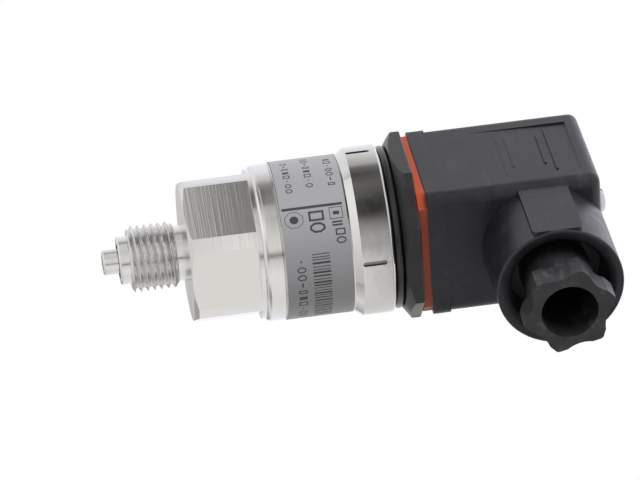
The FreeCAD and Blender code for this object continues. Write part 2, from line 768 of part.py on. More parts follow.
def make_plug_housing():
    body = new_body("plug_housing")
    half_x, half_y, wall = plug_half_x, plug_half_y, dim.plug_wall
    # outer box with round long edges and a round end
    sketch = new_sketch(body, "XY_Plane", z_gasket_face)
    draw(sketch, rounded_rectangle(half_x, half_y, dim.plug_corner_round))
    box = extrude(body, sketch, dim.plug_height)
    round_edges(body, box, lambda edge: lies_at(edge, z_plug_end), dim.plug_end_round)
    # collar that presses on the gasket
    stand = dim.plug_collar_stand
    sketch = new_sketch(body, "XY_Plane", z_gasket_face)
    draw(sketch, rounded_rectangle(half_x + stand, half_y + stand, dim.plug_corner_round))
    extrude(body, sketch, dim.plug_collar_height)
    # gland hub, from inside the wall out to its rim, with a flat pad on its -X side
    sketch = new_sketch(body, "XZ_Plane", half_y - wall)
    draw_circle(sketch, 0, z_gland, hub_radius)
    hub = extrude(body, sketch, dim.hub_reach - half_y + wall)
    round_edges(body, hub, on_hub_rim, dim.hub_rim_round)
    sketch = new_sketch(body, "XZ_Plane", half_y - wall)
    pad_half = dim.pad_width / 2
    draw(sketch, rectangle(-hub_radius, z_gland - pad_half, -dim.gland_bore_radius, z_gland + pad_half))
    pad = extrude(body, sketch, dim.hub_reach - half_y + wall - dim.pad_end_gap)
    round_edges(body, pad, on_pad_corner, dim.pad_corner_round)
    # sunk panel on the -X side: flush at its port end, deepest near its far end, where it slopes back out
    panel_top = z_plug_end - dim.panel_end_gap
    panel_low = panel_top - dim.panel_length
    sketch = new_sketch(body, "XZ_Plane", dim.panel_half_width)
    draw(sketch, [
        (-half_x - OVERCUT, panel_low), (-half_x, panel_low),
        (dim.panel_depth - half_x, panel_top - dim.panel_depth), (-half_x, panel_top),
        (-half_x - OVERCUT, panel_top),
    ])
    extrude(body, sketch, dim.panel_half_width * 2, "Pocket")
    # raised bars across the panel
    middle = panel_top - dim.rib_from_panel_end
    sketch = new_sketch(body, "YZ_Plane", dim.rib_root_depth - half_x)
    bars = ((dim.rib_outer_spread, dim.rib_outer_half), (dim.rib_inner_spread, dim.rib_inner_half))
    for spread, half_long in bars:
        for side in (1, -1):
            place = middle + spread * side
            draw(sketch, rectangle(-half_long, place, half_long, place + dim.rib_width))
    extrude(body, sketch, dim.rib_root_depth - dim.rib_crest_depth, backwards=True)
    # hollow for the contact block, open towards the gasket
    sketch = new_sketch(body, "XY_Plane", z_gasket_face)
    draw(sketch, rounded_rectangle(half_x - wall, half_y - wall, dim.block_corner_round))
    extrude(body, sketch, dim.plug_height - wall, "Pocket", backwards=True)
    gland_bore(body)
    # post that holds the contact block down, and the fixing screw's hole through it
    sketch = new_sketch(body, "XY_Plane", z_block_top)
    draw_circle(sketch, 0, 0, dim.screw_post_radius)
    extrude(body, sketch, z_plug_end - wall - z_block_top)
    sketch = new_sketch(body, "XY_Plane", z_plug_end)
    draw_circle(sketch, 0, 0, dim.screw_radius + dim.screw_pass_gap)
    extrude(body, sketch, z_plug_end - z_block_top, "Pocket")


def on_hub_rim(edge):
    """True for the circle around the hub's outer end."""
    box = edge.BoundBox
    return abs(box.YMin + dim.hub_reach.value) < 1e-4 and abs(box.YMax + dim.hub_reach.value) < 1e-4


def on_pad_corner(edge):
    """True for the two short edges at the pad's outer end, square to its face."""
    box, end = edge.BoundBox, dim.pad_end_gap.value - dim.hub_reach.value
    return abs(box.YMin - end) < 1e-4 and abs(box.YMax - end) < 1e-4 and box.ZLength < 1e-4


def gland_bore(body):
    """Rounded mouth, threaded bore with the grommet's seat, and the passage into the housing."""
    reach, mouth_round = dim.hub_reach, dim.hub_mouth_round
    inside = plug_half_y - dim.plug_wall - OVERCUT / 2
    path = [
        (0, reach + OVERCUT), (hub_mouth_radius, reach + OVERCUT), (hub_mouth_radius, reach),
        (dim.gland_bore_radius, reach - mouth_round, mouth_round), (dim.gland_bore_radius, dim.gland_seat_reach),
        (dim.gland_passage_radius, dim.gland_seat_reach), (dim.gland_passage_radius, inside), (0, inside),
    ]
    # the profile lies in a plane through the gland's own axis, which runs along -Y
    sketch = new_sketch(body, "YZ_Plane")
    draw(sketch, [(-along, z_gland + radius, *arc) for radius, along, *arc in path])
    axis = new_sketch(body, "YZ_Plane")
    draw(axis, [(-dim.hub_reach, z_gland), (0, z_gland)], closed=False)
    groove = body.newObject("PartDesign::Groove", "plug_housing_gland_groove")
    groove.Profile = sketch
    groove.ReferenceAxis = (axis, ["Edge1"])


def make_contact_block():
    body = new_body("contact_block")
    half_y = plug_half_y - dim.plug_wall - dim.block_clearance
    sketch = new_sketch(body, "XY_Plane", z_block)
    draw(sketch, rounded_rectangle(block_half_x, half_y, dim.block_corner_round))
    draw_circle(sketch, 0, 0, dim.screw_radius + dim.screw_pass_gap)
    extrude(body, sketch, dim.block_height)
    # four cells open towards the blades, each with a hole for its terminal screw
    half_long = dim.clip_width / 2 + dim.cell_side_gap
    cell = new_sketch(body, "XZ_Plane", cell_outer)
    draw(cell, rectangle(-half_long, z_block - OVERCUT, half_long, z_cell_top))
    cell_cut = extrude(body, cell, cell_outer - lug_inner + dim.cell_lug_gap, "Pocket")
    hole = new_sketch(body, "XY_Plane", z_block_top)
    draw_circle(hole, 0, -terminal_spread, terminal_hole_radius)
    hole_cut = extrude(body, hole, z_block_top - z_cell_top + OVERCUT, "Pocket")
    repeat(body, [cell_cut, hole_cut], SECTORS)


def clip(body):
    """A folded strip at the plug's -Y side: two leaves beside the blade and a threaded bridge above it."""
    half, centre, low = dim.clip_width / 2, -dim.blade_spread, z_block + dim.clip_lift
    outer, inner = centre - clip_leaf_outer, centre + clip_leaf_outer
    sketch = new_sketch(body, "YZ_Plane", -half)
    draw(sketch, [
        (outer, low), (centre - clip_slot_half, low), (centre - clip_slot_half, z_bridge),
        (centre + clip_slot_half, z_bridge), (centre + clip_slot_half, low), (inner, low),
        (inner, z_bridge), (-lug_inner, z_bridge), (-lug_inner, z_cell_top), (outer, z_cell_top),
    ])
    strip = extrude(body, sketch, dim.clip_width)
    sketch = new_sketch(body, "XY_Plane", z_cell_top)
    draw_circle(sketch, 0, -terminal_spread, terminal_hole_radius)
    return [strip, extrude(body, sketch, dim.clip_bridge, "Pocket")]


def make_terminals():
    body = new_body("contact_clips", -90.0)
    repeat(body, clip(body), 3, 180.0)
    clip(new_body("earth_clip", 180.0))

    body = new_body("terminal_screws")
    centre = -terminal_spread
    shank = new_sketch(body, "XY_Plane", z_bridge)
    draw_circle(shank, 0, centre, dim.terminal_shank_radius)
    shank_pad = extrude(body, shank, z_block_top - z_bridge)
    head = new_sketch(body, "XY_Plane", z_block_top)
    draw_circle(head, 0, centre, dim.terminal_head_radius)
    head_pad = extrude(body, head, dim.terminal_head_height)
    slot = new_sketch(body, "XY_Plane", z_block_top + dim.terminal_head_height)
    half_long, half_short = dim.terminal_head_radius + OVERCUT, dim.screw_slot_width / 2
    draw(slot, rectangle(-half_long, centre - half_short, half_long, centre + half_short))
    slot_cut = extrude(body, slot, dim.terminal_head_height / 2, "Pocket")
    repeat(body, [shank_pad, head_pad, slot_cut], SECTORS)


def make_fixing_screw():
    body = new_body("screw_seal")
    tube(body, dim.screw_radius + dim.seal_bore_gap, dim.seal_radius, z_plug_end, z_seal_top)

    body = new_body("fixing_screw")
    head_top = z_seal_top + dim.screw_head_height
    crown_low = head_top - dim.screw_crown_height
    foot = z_base_face - dim.screw_engagement
    revolve(body, [
        (0, foot), (dim.screw_radius - dim.screw_tip_bevel, foot),
        (dim.screw_radius, foot + dim.screw_tip_bevel),
        (dim.screw_radius, z_seal_top), (dim.screw_head_radius, z_seal_top),
        (dim.screw_head_radius, crown_low),
        (dim.screw_crown_radius, head_top, dim.screw_crown_round), (0, head_top),
    ])
    slot = new_sketch(body, "XY_Plane", head_top)
    half_long, half_short = dim.screw_head_radius + OVERCUT, dim.screw_slot_width / 2
    draw(slot, rectangle(-half_long, -half_short, half_long, half_short))
    extrude(body, slot, dim.screw_slot_depth, "Pocket")


def make_gland():
    body = new_body("gland_grommet")
    on_gland_axis(body)
    bevel = dim.grommet_bevel
    revolve(body, [
        (dim.grommet_bore_radius, dim.gland_seat_reach), (loose_radius - bevel, dim.gland_seat_reach),
        (loose_radius, dim.gland_seat_reach + bevel), (loose_radius, ring_end),
        (dim.grommet_bore_radius + bevel, ring_end), (dim.grommet_bore_radius, ring_end - bevel),
    ])

    body = new_body("gland_ring")
    on_gland_axis(body)
    tube(body, dim.thrust_ring_bore_radius, loose_radius, ring_end, nut_end)

    body = new_body("gland_nut")
    on_gland_axis(body)
    head = new_sketch(body, "XY_Plane", nut_back)
    draw(head, scalloped_hexagon())
    extrude(body, head, dim.nut_head_length)
    neck = new_sketch(body, "XY_Plane", nut_shank)
    draw_circle(neck, 0, 0, dim.nut_neck_radius)
    extrude(body, neck, dim.nut_neck_length)
    shank = new_sketch(body, "XY_Plane", nut_end)
    draw_circle(shank, 0, 0, dim.gland_bore_radius - dim.nut_running_gap)
    extrude(body, shank, dim.nut_shank_length)
    # the front corners are turned off at 45 degrees
    corner, front = dim.nut_corner_radius, dim.nut_front_bevel
    revolve(body, [
        (corner - front, nut_reach), (corner + OVERCUT, nut_reach - front - OVERCUT),
        (corner + OVERCUT, nut_reach),
    ], "Groove")
    bore = new_sketch(body, "XY_Plane", nut_reach)
    draw_circle(bore, 0, 0, dim.nut_bore_radius)
    extrude(body, bore, nut_reach - nut_end, "Pocket")


def scalloped_hexagon():
    """Path of a hexagon whose sides each have a shallow round hollow at their middle."""
    path = []
    apothem = dim.nut_corner_radius * math.cos(math.radians(30))
    for side in range(6):
        corner_angle = 90.0 + dim.nut_turn + 60.0 * side
        path.append(polar(dim.nut_corner_radius, corner_angle))
        foot_x, foot_y = polar(apothem, corner_angle + 30)
        along_x, along_y = polar(dim.nut_scallop_half_width, corner_angle + 120)
        path.append((foot_x - along_x, foot_y - along_y))
        path.append((foot_x + along_x, foot_y + along_y, -dim.nut_scallop_radius))
    return path


make_pressure_port()
make_sensor()
make_electronics()
make_housing_sleeve()
make_type_label()
make_plug_base()
make_contacts()
make_seals()
make_plug_housing()
make_contact_block()
make_terminals()
make_fixing_screw()
make_gland()
doc.recompute()

failed = [thing.Name for thing in doc.Objects if "Invalid" in thing.State or "Error" in thing.State]
bodies = [thing for thing in doc.Objects if thing.TypeId == "PartDesign::Body"]
failed += [body.Label for body in bodies if body.Shape.isNull() or not body.Shape.isValid()]
if failed:
    raise RuntimeError("these did not build: " + ", ".join(failed))

os.makedirs("parts", exist_ok=True)
for body in bodies:
    body.Shape.exportStep(f"parts/{body.Label}.step")
    box = body.Shape.BoundBox
    print(
        f"{body.Label:18s} solids {len(body.Shape.Solids)}  volume {body.Shape.Volume:9.2f}"
        f"  X {box.XMin:7.2f} {box.XMax:7.2f}  Y {box.YMin:7.2f} {box.YMax:7.2f}"
        f"  Z {box.ZMin:7.2f} {box.ZMax:7.2f}"
    )
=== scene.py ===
import json
import math

import bpy
import numpy as np
from mathutils import Matrix, Vector


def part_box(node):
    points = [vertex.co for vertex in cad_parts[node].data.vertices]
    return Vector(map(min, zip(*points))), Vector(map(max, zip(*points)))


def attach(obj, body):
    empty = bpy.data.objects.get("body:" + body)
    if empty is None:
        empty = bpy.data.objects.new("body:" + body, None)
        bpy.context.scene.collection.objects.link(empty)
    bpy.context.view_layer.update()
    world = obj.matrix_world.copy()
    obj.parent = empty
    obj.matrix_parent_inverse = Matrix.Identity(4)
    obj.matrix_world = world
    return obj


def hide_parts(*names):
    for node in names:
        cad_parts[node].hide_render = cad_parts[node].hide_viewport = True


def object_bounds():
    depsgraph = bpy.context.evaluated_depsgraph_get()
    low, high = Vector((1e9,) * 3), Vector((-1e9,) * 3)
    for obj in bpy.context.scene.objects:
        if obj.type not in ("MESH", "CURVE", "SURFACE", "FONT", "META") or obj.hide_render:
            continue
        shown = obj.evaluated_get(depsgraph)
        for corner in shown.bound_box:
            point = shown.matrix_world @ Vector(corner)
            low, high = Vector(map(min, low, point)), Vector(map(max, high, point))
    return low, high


# Looks of the pressure transmitter with its cable plug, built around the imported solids.
# Metres, in the solids' own frame: +Z from the pressure port to the plug, the cable towards -Y.

MM = 0.001

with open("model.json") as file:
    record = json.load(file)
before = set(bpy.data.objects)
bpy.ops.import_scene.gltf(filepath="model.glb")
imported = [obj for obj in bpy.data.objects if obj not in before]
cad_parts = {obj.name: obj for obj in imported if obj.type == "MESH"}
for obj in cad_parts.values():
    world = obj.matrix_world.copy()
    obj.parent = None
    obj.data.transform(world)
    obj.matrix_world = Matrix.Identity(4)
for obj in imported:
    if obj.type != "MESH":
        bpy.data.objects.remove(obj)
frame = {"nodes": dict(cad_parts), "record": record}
nodes = frame["nodes"]
solid_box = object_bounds()


# ---------------------------------------------------------------- camera, light and floor

def linear(code):
    """An sRGB hex colour as linear red, green, blue and alpha."""
    parts = [int(code[i:i + 2], 16) / 255 for i in (1, 3, 5)]
    return tuple(p / 12.92 if p <= 0.04045 else ((p + 0.055) / 1.055) ** 2.4 for p in parts) + (1.0,)


def direction(azimuth, elevation):
    """The unit vector from the object to a place seen at that azimuth and elevation in degrees."""
    a, e = math.radians(azimuth), math.radians(elevation)
    return Vector((math.sin(a) * math.cos(e), -math.cos(a) * math.cos(e), math.sin(e)))


def looking(place, target, roll=0.0):
    """The matrix that stands something at a place, looking at a target, rolled clockwise in degrees."""
    turn = (target - place).to_track_quat("-Z", "Y").to_matrix().to_4x4()
    return Matrix.Translation(place) @ turn @ Matrix.Rotation(math.radians(roll), 4, "Z")


# the camera's place round the object in degrees, and its distance and target in metres
VIEW_AZIMUTH = -30.504
VIEW_ELEVATION = -5.175
VIEW_ROLL = 82.767       # the instrument lies across the view, its port to the left
VIEW_DISTANCE = 0.98197
VIEW_TARGET = Vector((0.76, -0.45, 29.17)) * MM
VIEW_LENS = 281.25       # mm, a long lens for a small thing a metre away
CLIP_START, CLIP_END = 0.01, 20.0


def make_camera():
    """The camera at the viewing angle, turned so that the instrument lies across the view."""
    camera = bpy.data.objects.new("camera", bpy.data.cameras.new("camera"))
    bpy.context.scene.collection.objects.link(camera)
    place = VIEW_TARGET + direction(VIEW_AZIMUTH, VIEW_ELEVATION) * VIEW_DISTANCE
    camera.matrix_world = looking(place, VIEW_TARGET, VIEW_ROLL)
    camera.data.lens = VIEW_LENS
    camera.data.clip_start, camera.data.clip_end = CLIP_START, CLIP_END
    bpy.context.scene.camera = camera


def add(tree, kind, sockets=None, **settings):
    """Add a node: settings name its properties, sockets its inputs, each a value or a link's source."""
    made = tree.nodes.new(kind)
    for name, value in settings.items():
        setattr(made, name, value)
    for name, value in (sockets or {}).items():
        if isinstance(value, bpy.types.NodeSocket):
            tree.links.new(value, made.inputs[name])
        else:
            made.inputs[name].default_value = value
    return made


DIFFUSE_LEVEL = 0.45      # the world's light on dull surfaces
TENT_RADIUS = 300.0 * MM
TENT_HEIGHTS = (-0.26, 0.45)
TENT_ROWS = 281           # rows of points from its foot to its top, fine enough for the narrow belts
# How bright the tent's wall is, by height in mm and then by degrees from +X towards +Y: white cloth
# with darker seams low down, and higher up a black card on the -X side, which the cup mirrors.
# Each belt is named for the part of the object that mirrors it when seen from about its own height.
UNDER_LIGHT = (
    (10, 1.0), (35, 0.45), (60, 0.5), (85, 1.1), (125, 1.1), (150, 0.4), (175, 0.3), (195, 0.75),
    (225, 1.1), (255, 0.6), (262, 0.35), (275, 0.9), (300, 1.1), (325, 0.4), (340, 0.5))
THREAD_LIGHT = (
    (60, 1.2), (100, 1.2), (120, 1.1), (130, 0.95), (142, 0.75), (150, 0.3), (157, 0.85), (170, 1.0),
    (185, 0.95), (200, 0.75), (215, 0.85), (245, 0.95), (255, 0.8), (260, 0.1), (265, 0.85),
    (285, 1.05), (330, 1.05))
RELIEF_LIGHT = (
    (60, 1.2), (110, 1.15), (130, 0.85), (142, 0.7), (150, 0.3), (156, 0.7), (165, 0.35), (180, 0.4),
    (187, 1.1), (200, 0.65), (210, 0.9), (245, 0.8), (255, 0.6), (260, 0.05), (265, 0.8), (285, 1.0),
    (330, 1.0))
SPANNER_FLATS_LIGHT = (
    (60, 1.2), (115, 1.2), (140, 0.7), (155, 0.2), (164, 0.02), (183, 0.02), (190, 0.6), (212, 1.25),
    (250, 1.25), (255, 0.8), (260, 0.1), (265, 0.8), (285, 1.12), (330, 1.0))
FLANGE_LIGHT = (
    (60, 1.2), (115, 1.15), (138, 0.8), (150, 0.4), (165, 0.45), (180, 0.6), (200, 0.8), (208, 0.4),
    (220, 0.65), (240, 0.95), (254, 1.0), (260, 0.1), (266, 0.9), (285, 1.1), (330, 0.95))
CUP_LIGHT = (
    (60, 1.2), (90, 1.15), (115, 0.9), (128, 0.72), (140, 0.55), (147, 0.2), (160, 0.07), (176, 0.16),
    (188, 0.1), (200, 0.01), (216, 0.01), (223, 0.12), (232, 0.32), (250, 0.58), (262, 0.62),
    (272, 0.82), (282, 1.0), (330, 1.0), (0, 0.88), (35, 0.85))
BASE_LIGHT = (
    (60, 1.1), (115, 1.1), (140, 0.65), (150, 0.2), (222, 0.1), (245, 0.3), (285, 0.2), (325, 0.35),
    (0, 0.78))
PLUG_LIGHT = ((60, 1.1), (120, 1.15), (150, 0.6), (220, 0.5), (285, 0.25), (325, 0.45), (0, 0.9))
TOP_LIGHT = ((0, 1.0), (60, 1.3), (85, 1.7), (110, 1.3), (150, 1.0), (240, 0.9))
TENT_LIGHT = (
    (-60, UNDER_LIGHT), (-20, UNDER_LIGHT), (5, THREAD_LIGHT), (18, THREAD_LIGHT), (27.5, RELIEF_LIGHT),
    (29.5, SPANNER_FLATS_LIGHT), (40, SPANNER_FLATS_LIGHT), (43, FLANGE_LIGHT), (62, CUP_LIGHT),
    (85, BASE_LIGHT), (125, PLUG_LIGHT), (170, TOP_LIGHT),
)
COLD_CLOTH, PLAIN_CLOTH, WARM_CLOTH = "#f6f6ff", "#fffefc", "#fffdf9"
CLOTH_BRIGHTEST = 1.2     # the level from which the cloth has its full warm or cold colour
CLOTH_TURN = 0.1          # how far before and behind the middle the warm cloth changes to the cold
KEY_AZIMUTH, KEY_ELEVATION = -80.0, 30.0
KEY_DISTANCE, KEY_SIDE, KEY_WATTS = 0.9, 0.6, 15.0
FLOOR_DROP = 350.0 * MM  # the object is held up clear of the floor, inside the light tent
FLOOR_HALF = 12.0
FLOOR_GLOW = 0.3         # brightens the floor to the eye and puts no light on the object


def make_world():
    """Even white light all round; what is dull gets less of it than what mirrors it."""
    world = bpy.data.worlds.new("studio")
    world.use_nodes = True
    tree = world.node_tree
    tree.nodes.clear()
    rays = add(tree, "ShaderNodeLightPath").outputs
    seen = add(tree, "ShaderNodeMath", {0: rays["Is Camera Ray"], 1: rays["Is Transmission Ray"]},
               operation="MAXIMUM").outputs[0]
    seen = add(tree, "ShaderNodeMath", {0: seen, 1: rays["Is Glossy Ray"]}, operation="MAXIMUM").outputs[0]
    level = add(tree, "ShaderNodeMix", {"Factor": seen, 2: DIFFUSE_LEVEL, 3: 1.0}).outputs[0]
    light = add(tree, "ShaderNodeBackground", {"Color": (1, 1, 1, 1), "Strength": level})
    add(tree, "ShaderNodeOutputWorld", {"Surface": light.outputs[0]})
    bpy.context.scene.world = world


def quads(rows, columns, close_rows=True):
    """Corner numbers of the quads of a grid that runs all round, and whose last row may join its first."""
    r, c = np.meshgrid(np.arange(rows - (not close_rows)), np.arange(columns), indexing="ij")
    here, above, beside = r * columns, (r + 1) % rows * columns, (c + 1) % columns
    return np.stack([here + c, here + beside, above + beside, above + c], -1).reshape(-1, 4)


def tent_cloth():
    # white cotton lit from outside, colder behind the object and warmer before it where it is brightest
    cloth = bpy.data.materials.new("tent_cloth")
    cloth.use_nodes = True
    tree = cloth.node_tree
    tree.nodes.clear()
    level = add(tree, "ShaderNodeAttribute", attribute_name="level").outputs["Fac"]
    bright = add(tree, "ShaderNodeMapRange", {
        "Value": level, "From Min": 1.0, "From Max": CLOTH_BRIGHTEST}).outputs[0]
    place = add(tree, "ShaderNodeTexCoord").outputs["Object"]
    across = add(tree, "ShaderNodeSeparateXYZ", {0: place}).outputs["Y"]
    behind = add(tree, "ShaderNodeMapRange", {
        "Value": across, "From Min": -CLOTH_TURN, "From Max": CLOTH_TURN}).outputs[0]
    cast = add(tree, "ShaderNodeMix", {"Factor": behind, 6: linear(WARM_CLOTH), 7: linear(COLD_CLOTH)},
               data_type="RGBA").outputs[2]
    tint = add(tree, "ShaderNodeMix", {"Factor": bright, 6: linear(PLAIN_CLOTH), 7: cast},
               data_type="RGBA").outputs[2]
    light = add(tree, "ShaderNodeEmission", {"Color": tint, "Strength": level})
    add(tree, "ShaderNodeOutputMaterial", {"Surface": light.outputs[0]})
    return cloth


def make_tent():
    """The light tent's wall, an upright cylinder round the object that only reflections show.

    A point at an angle and a height lies at radius * (cos, sin) of the angle. Its brightness is
    read off between the table's rows, straight in height and in angle."""
    angle = np.arange(0, 360, 1.0)
    height = np.linspace(*TENT_HEIGHTS, TENT_ROWS)
    rows = np.array([np.interp(angle, *np.array(stops).T, period=360) for _, stops in TENT_LIGHT])
    between = np.interp(height / MM, [row[0] for row in TENT_LIGHT], np.arange(len(rows)))
    lower = np.minimum(between.astype(int), len(rows) - 2)
    share = (between - lower)[:, None]
    level = rows[lower] * (1 - share) + rows[lower + 1] * share
    turn, z = np.meshgrid(np.radians(angle), height)
    points = np.stack([TENT_RADIUS * np.cos(turn), TENT_RADIUS * np.sin(turn), z], -1).reshape(-1, 3)
    mesh = bpy.data.meshes.new("light_tent")
    mesh.from_pydata(points, [], quads(len(height), len(angle), close_rows=False))
    mesh.attributes.new("level", "FLOAT", "POINT").data.foreach_set("value", level.ravel())
    mesh.materials.append(tent_cloth())
    tent = bpy.data.objects.new("light_tent", mesh)
    bpy.context.scene.collection.objects.link(tent)
    tent.visible_camera = tent.visible_diffuse = tent.visible_transmission = tent.visible_shadow = False


def make_key_lamp():
    """A square soft box that looks at the middle of the object; the metal doesn't mirror it."""
    lamp = bpy.data.objects.new("key", bpy.data.lights.new("key", "AREA"))
    lamp.data.shape, lamp.data.size, lamp.data.energy = "SQUARE", KEY_SIDE, KEY_WATTS
    bpy.context.scene.collection.objects.link(lamp)
    middle = Vector(solid_box[0]).lerp(Vector(solid_box[1]), 0.5)
    place = middle + direction(KEY_AZIMUTH, KEY_ELEVATION) * KEY_DISTANCE
    lamp.matrix_world = looking(place, middle)
    lamp.visible_glossy = False


def pale_floor():
    # matt pale paper, clear from underneath
    paper, tree, shader = finish("pale_floor", "#ececea", 0.9, Emission_Color=(1.0, 1.0, 1.0, 1.0))
    seen = add(tree, "ShaderNodeLightPath").outputs["Is Camera Ray"]
    glow = add(tree, "ShaderNodeMath", {0: seen, 1: FLOOR_GLOW}, operation="MULTIPLY").outputs[0]
    tree.links.new(glow, shader.inputs["Emission Strength"])
    back = add(tree, "ShaderNodeNewGeometry").outputs["Backfacing"]
    clear = add(tree, "ShaderNodeBsdfTransparent").outputs[0]
    shown = add(tree, "ShaderNodeMixShader", {0: back, 1: shader.outputs[0], 2: clear}).outputs[0]
    tree.links.new(shown, tree.nodes["Material Output"].inputs["Surface"])
    return paper


def make_floor():
    """A square pale sheet under the object, seen from above only; its edges lie beyond any view."""
    half, height = FLOOR_HALF, solid_box[0][2] - FLOOR_DROP
    corners = [(-half, -half, height), (half, -half, height), (half, half, height), (-half, half, height)]
    mesh = bpy.data.meshes.new("floor")
    mesh.from_pydata(corners, [], [(0, 1, 2, 3)])
    mesh.materials.append(pale_floor())
    floor = bpy.data.objects.new("floor", mesh)
    bpy.context.scene.collection.objects.link(floor)


# ---------------------------------------------------------------- finishes

# where the crimps are; there the sleeve's colour is darkened as painted shade in the dents
CRIMP_SUNK = 16.4 * MM       # inside this radius the sleeve's cup is a crimp
CRIMP_MIDDLE = 37.9 * MM     # height of the crimps, and how far they reach up and down from it
CRIMP_REACH = 2.6 * MM
SCRATCH_TURN = (0.4, 0.9, 0.3)    # radians: the way that scuffs run on the plug
SCRATCH_WAVES = (900, 140, 900)   # per metre, so that a scuff is about seven times as long as wide


def finish(name, colour, roughness, **values):
    """A material with a Principled shader; values name further sockets. Returns it, its tree and shader."""
    material = bpy.data.materials.new(name)
    material.use_nodes = True
    tree = material.node_tree
    shader = tree.nodes["Principled BSDF"]
    shader.inputs["Base Color"].default_value = linear(colour)
    shader.inputs["Roughness"].default_value = roughness
    for socket, value in values.items():
        shader.inputs[socket.replace("_", " ")].default_value = value
    return material, tree, shader


def stretched(tree, across, along):
    """Object coordinates scaled by waves per metre across the instrument's axis and along it."""
    place = add(tree, "ShaderNodeTexCoord").outputs["Object"]
    return add(tree, "ShaderNodeMapping", {"Vector": place, "Scale": (across, across, along)}).outputs[0]


def tool_lines(material, tree, shader, per_mm, wander_mm, bump, swing):
    """Fine grooves round the axis: noise that is short along Z and long around it."""
    lines = add(tree, "ShaderNodeTexNoise", {
        "Vector": stretched(tree, 1 / (wander_mm * MM), per_mm / MM), "Scale": 1.0, "Detail": 2.0})
    height = add(tree, "ShaderNodeBump", {
        "Height": lines.outputs["Fac"], "Distance": bump * MM, "Strength": 1.0})
    tree.links.new(height.outputs[0], shader.inputs["Normal"])
    middle = shader.inputs["Roughness"].default_value
    rough = add(tree, "ShaderNodeMapRange", {
        "Value": lines.outputs["Fac"], "From Min": 0.3, "From Max": 0.7,
        "To Min": middle - swing, "To Max": middle + swing})
    tree.links.new(rough.outputs[0], shader.inputs["Roughness"])
    return material


def stainless_turned():
    # austenitic stainless bar, finely turned: bright metal that mirrors, with faint rings from the tool
    return tool_lines(*finish("stainless_turned", "#d6d5d4", 0.14, Metallic=1.0), 2.2, 12.0, 0.0012, 0.04)


def stainless_milled():
    # the same bar where the spanner flats are milled: coarse straight marks across the bar
    material, tree, shader = finish("stainless_milled", "#d3d2d0", 0.17, Metallic=1.0)
    marks = add(tree, "ShaderNodeTexNoise", {
        "Vector": stretched(tree, 1 / (25.0 * MM), 1.9 / MM), "Scale": 1.0, "Detail": 1.5, "Roughness": 0.7})
    height = add(tree, "ShaderNodeBump", {
        "Height": marks.outputs["Fac"], "Distance": 0.014 * MM, "Strength": 1.0})
    tree.links.new(height.outputs[0], shader.inputs["Normal"])
    return material


def stainless_drawn():
    # thin stainless tube, drawn and polished to a mirror; inside the pressed crimps the colour is darkened,
    # painted shade in the dents
    material, tree, shader = finish("stainless_drawn", "#d0cfce", 0.07, Metallic=1.0)
    place = add(tree, "ShaderNodeTexCoord").outputs["Object"]
    flat = add(tree, "ShaderNodeVectorMath", {0: place, 1: (1.0, 1.0, 0.0)}, operation="MULTIPLY").outputs[0]
    radius = add(tree, "ShaderNodeVectorMath", {0: flat}, operation="LENGTH").outputs["Value"]
    height = add(tree, "ShaderNodeSeparateXYZ", {0: place}).outputs["Z"]
    # painted shade: inside the crimps the base colour turns dark grey
    sunk = add(tree, "ShaderNodeMath", {0: radius, 1: CRIMP_SUNK}, operation="LESS_THAN").outputs[0]
    near = add(tree, "ShaderNodeMath", {0: height, 1: CRIMP_MIDDLE, 2: CRIMP_REACH},
               operation="COMPARE").outputs[0]
    inside = add(tree, "ShaderNodeMath", {0: sunk, 1: near}, operation="MULTIPLY").outputs[0]
    tone_with_painted_crimp_shade = add(tree, "ShaderNodeMix", {
        "Factor": inside, 6: linear("#d0cfce"), 7: linear("#85807e")}, data_type="RGBA")
    tree.links.new(tone_with_painted_crimp_shade.outputs[2], shader.inputs["Base Color"])
    smudge = add(tree, "ShaderNodeTexNoise", {"Vector": place, "Scale": 1 / (5.0 * MM), "Detail": 2.0})
    rough = add(tree, "ShaderNodeMapRange", {
        "Value": smudge.outputs["Fac"], "From Min": 0.35, "From Max": 0.65, "To Min": 0.05, "To Max": 0.11})
    tree.links.new(rough.outputs[0], shader.inputs["Roughness"])
    wave = add(tree, "ShaderNodeTexNoise", {"Vector": place, "Scale": 1 / (2.5 * MM), "Detail": 1.0})
    bump = add(tree, "ShaderNodeBump", {
        "Height": wave.outputs["Fac"], "Distance": 0.012 * MM, "Strength": 1.0})
    tree.links.new(bump.outputs[0], shader.inputs["Normal"])
    return material


def stainless_sensor():
    # plain turned stainless of the sensor body
    return tool_lines(*finish("stainless_sensor", "#c4c2be", 0.3, Metallic=1.0), 2.0, 9.0, 0.003, 0.05)


def speckled(name, colour, roughness, grain_mm, bump, **values):
    """A moulded skin: round noise of the grain's size in bump and roughness."""
    material, tree, shader = finish(name, colour, roughness, **values)
    place = add(tree, "ShaderNodeTexCoord").outputs["Object"]
    grain = add(tree, "ShaderNodeTexNoise", {"Vector": place, "Scale": 1 / (grain_mm * MM), "Detail": 3.0})
    height = add(tree, "ShaderNodeBump", {
        "Height": grain.outputs["Fac"], "Distance": bump * MM, "Strength": 1.0})
    rough = add(tree, "ShaderNodeMapRange", {
        "Value": grain.outputs["Fac"], "From Min": 0.3, "From Max": 0.7,
        "To Min": roughness - 0.05, "To Max": roughness + 0.05})
    tree.links.new(height.outputs[0], shader.inputs["Normal"])
    tree.links.new(rough.outputs[0], shader.inputs["Roughness"])
    return material


def label_foil():
    # satin silver polyester label: grey, soft sheen
    return speckled("label_foil", "#87878a", 0.42, 0.12, 0.001, Metallic=0.3)


def label_ink_and_painted_shade():
    # thermal-transfer ribbon: near black, satin; it also draws the painted shade line along the foil's edges
    return speckled("label_ink_and_painted_shade", "#2c2c2e", 0.5, 0.3, 0.001)


